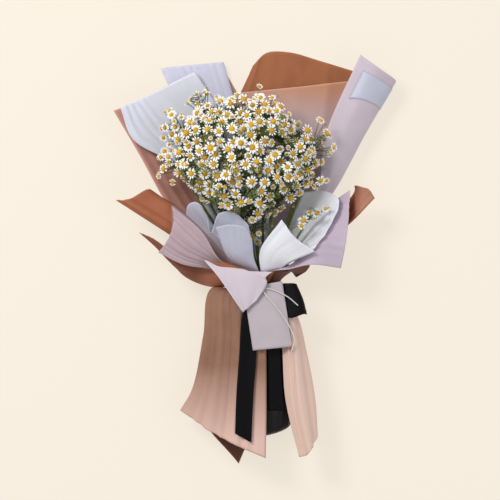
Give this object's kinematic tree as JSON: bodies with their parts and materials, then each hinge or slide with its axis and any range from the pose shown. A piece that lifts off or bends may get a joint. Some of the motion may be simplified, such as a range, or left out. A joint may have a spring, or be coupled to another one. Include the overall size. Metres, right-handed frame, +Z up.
{
  "type": "bunch of chamomile",
  "caption": "Chamomile sprays tied at the waist in layered two-tone paper and tissue, with a black ribbon, a blank card on a string and a water pouch round the stem ends.",
  "frame": {"origin": "on the surface that the bunch lies on, under the flowers and just above the tie", "axes": "+Z up from the surface, +Y along the bunch from the skirt of paper to the flowers, +X to the right as one looks down on it"},
  "size_m": [0.3982, 0.5828, 0.1476],
  "materials": {
    "two_tone_paper": "matt kraft-weight paper, terracotta brown on one face and dusty mauve pink on the other",
    "tissue": "thin translucent white tissue with soft creases",
    "satin": "black satin ribbon with a soft sheen",
    "label": "plain white paper label, blank",
    "card": "plain pale mauve card, blank",
    "string": "thin white twisted string",
    "twine": "natural jute twine",
    "pouch_plastic": "thin black plastic film with a soft gloss",
    "chamomile": "matt green stems and leaves, white petals and domed yellow discs"
  },
  "bodies": {
    "root": {"card": "card", "card_string": "string", "front_flap": "two_tone_paper", "label": "label", "ribbon_band": "satin", "ribbon_loop": "satin", "ribbon_tail_left": "satin", "ribbon_tail_right": "satin", "side_left": "two_tone_paper", "side_right": "two_tone_paper", "spray_01": "chamomile", "spray_02": "chamomile", "spray_03": "chamomile", "spray_04": "chamomile", "spray_05": "chamomile", "spray_06": "chamomile", "spray_07": "chamomile", "spray_08": "chamomile", "spray_09": "chamomile", "spray_10": "chamomile", "spray_11": "chamomile", "spray_12": "chamomile", "spray_13": "chamomile", "spray_14": "chamomile", "spray_15": "chamomile", "spray_16": "chamomile", "spray_17": "chamomile", "spray_18": "chamomile", "spray_19": "chamomile", "tissue_back_left": "tissue", "tissue_back_tall": "tissue", "tissue_front_left": "tissue", "tissue_front_middle": "tissue", "tissue_front_right": "tissue", "tissue_side_right": "tissue", "twine_tie": "twine", "water_pouch": "pouch_plastic", "wrap_back": "two_tone_paper", "wrap_back_left": "two_tone_paper", "wrap_back_right": "two_tone_paper", "wrap_front": "two_tone_paper", "wrap_left": "two_tone_paper", "wrap_right": "two_tone_paper", "wrap_right_outer": "two_tone_paper"}
  },
  "joints": []
}
